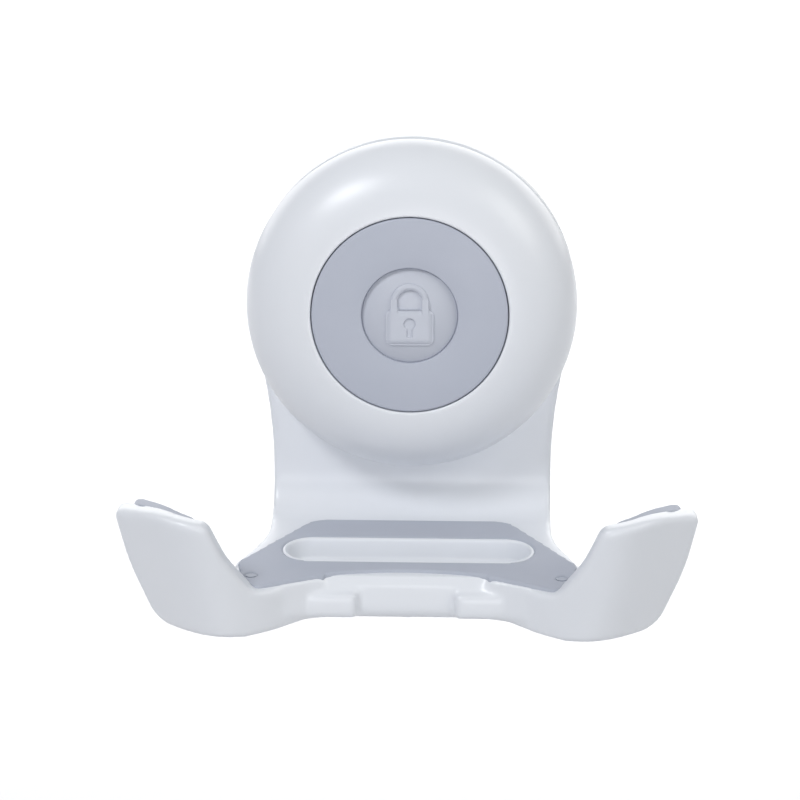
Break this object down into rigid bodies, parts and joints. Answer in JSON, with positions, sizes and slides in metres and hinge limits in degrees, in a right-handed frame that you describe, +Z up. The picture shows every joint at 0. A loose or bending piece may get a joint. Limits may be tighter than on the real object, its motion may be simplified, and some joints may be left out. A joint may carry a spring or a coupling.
{
  "type": "suction-mounted cradle",
  "caption": "Wall cradle with a padded shelf, a shallow pocket and two forward wings, hung from a round press-button vacuum cup.",
  "frame": {"origin": "on the button's axis, in the plane of the wall that the cup's lip seals on", "axes": "+X to the right as seen from the front, +Y into the wall, +Z up"},
  "size_m": [0.1642, 0.0803, 0.1344],
  "materials": {
    "white_shell": "satin moulded ABS, cool white",
    "grey_pad": "matt soft-touch TPE, light blue-grey",
    "pad_stud": "moulded nylon, light grey",
    "grey_button": "fine-textured satin ABS, light blue-grey",
    "grey_badge": "satin ABS, light blue-grey",
    "inner_plastic": "natural acetal",
    "screw_steel": "zinc-plated steel",
    "stud_steel": "zinc-plated steel",
    "spring_steel": "bright spring wire",
    "cup_rubber": "glossy translucent thermoplastic polyurethane"
  },
  "bodies": {
    "holder": {"cradle": "white_shell", "dome_ring": "white_shell", "ring_screws": "screw_steel", "shelf_pad": "grey_pad", "pad_studs": "pad_stud", "wing_pad_left": "grey_pad", "wing_pad_right": "grey_pad", "guide_bush": "inner_plastic", "spring_seat": "stud_steel", "return_spring": "spring_steel", "suction_cup": "cup_rubber"},
    "button": {"push_button": "grey_button", "button_badge": "grey_badge", "plunger": "inner_plastic", "plunger_screws": "screw_steel", "cup_stud": "stud_steel", "stud_washer": "stud_steel", "stud_nut": "stud_steel"}
  },
  "joints": [
    {"name": "button_press", "type": "slide", "parent": "holder", "child": "button", "axis": [0, 1, 0], "range_m": [0, 0.004], "stiffness_N_per_m": 3500, "springref_m": -0.004, "deforming": ["return_spring", "suction_cup"]}
  ]
}
